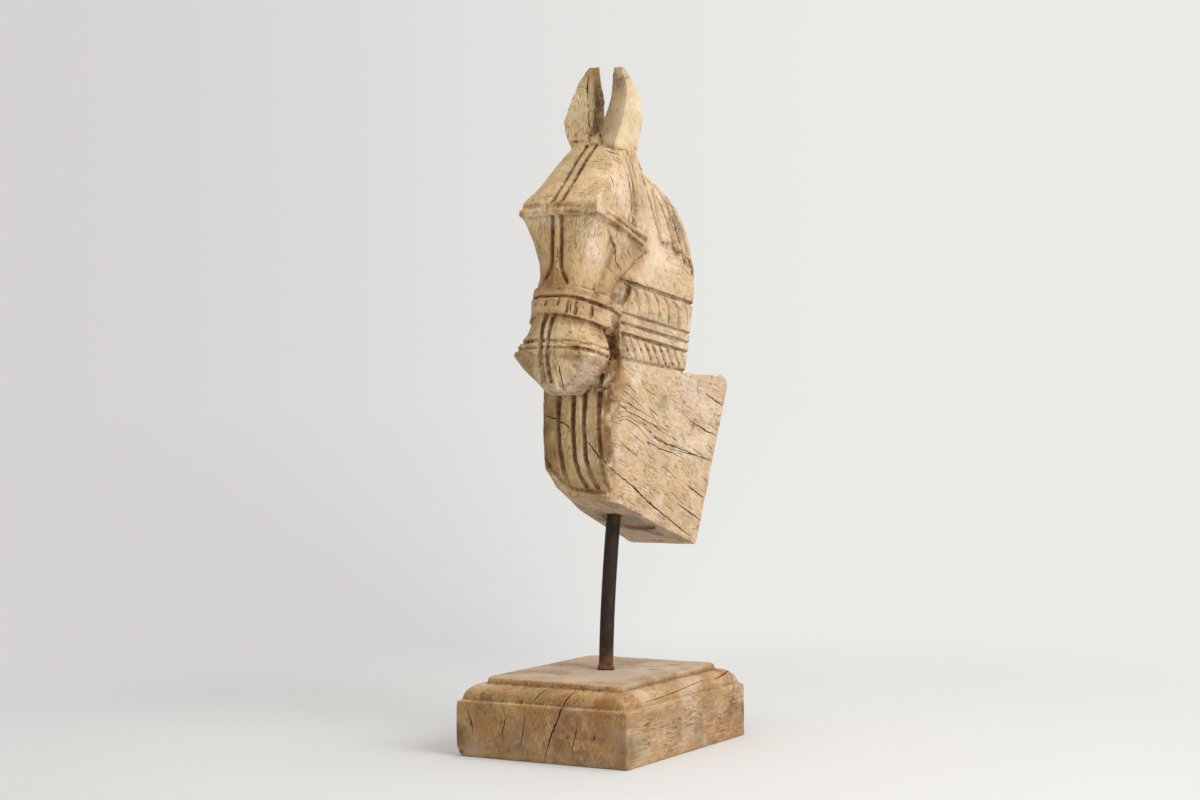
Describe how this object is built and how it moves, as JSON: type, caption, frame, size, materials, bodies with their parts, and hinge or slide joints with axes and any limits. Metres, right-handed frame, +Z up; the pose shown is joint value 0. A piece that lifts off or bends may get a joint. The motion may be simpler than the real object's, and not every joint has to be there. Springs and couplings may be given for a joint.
{
  "type": "carved horse head sculpture on a stand",
  "caption": "Weathered carved wooden horse head with bridle and collar, held up by a bent iron rod on a moulded wooden plinth.",
  "frame": {"origin": "centre of the plinth's underside", "axes": "+Z up, the horse faces -Y, its left side is +X"},
  "size_m": [0.17, 0.2785, 0.6],
  "materials": {
    "carved_wood": "bare, weathered, pale tan with dark dirt in the carving",
    "rod_iron": "dark brown-black iron with a little rust at the foot",
    "plinth_wood": "waxed brown wood, cracked and worn at the edges"
  },
  "bodies": {
    "root": {"horse_head": "carved_wood", "rod": "rod_iron", "base": "plinth_wood"}
  },
  "joints": []
}
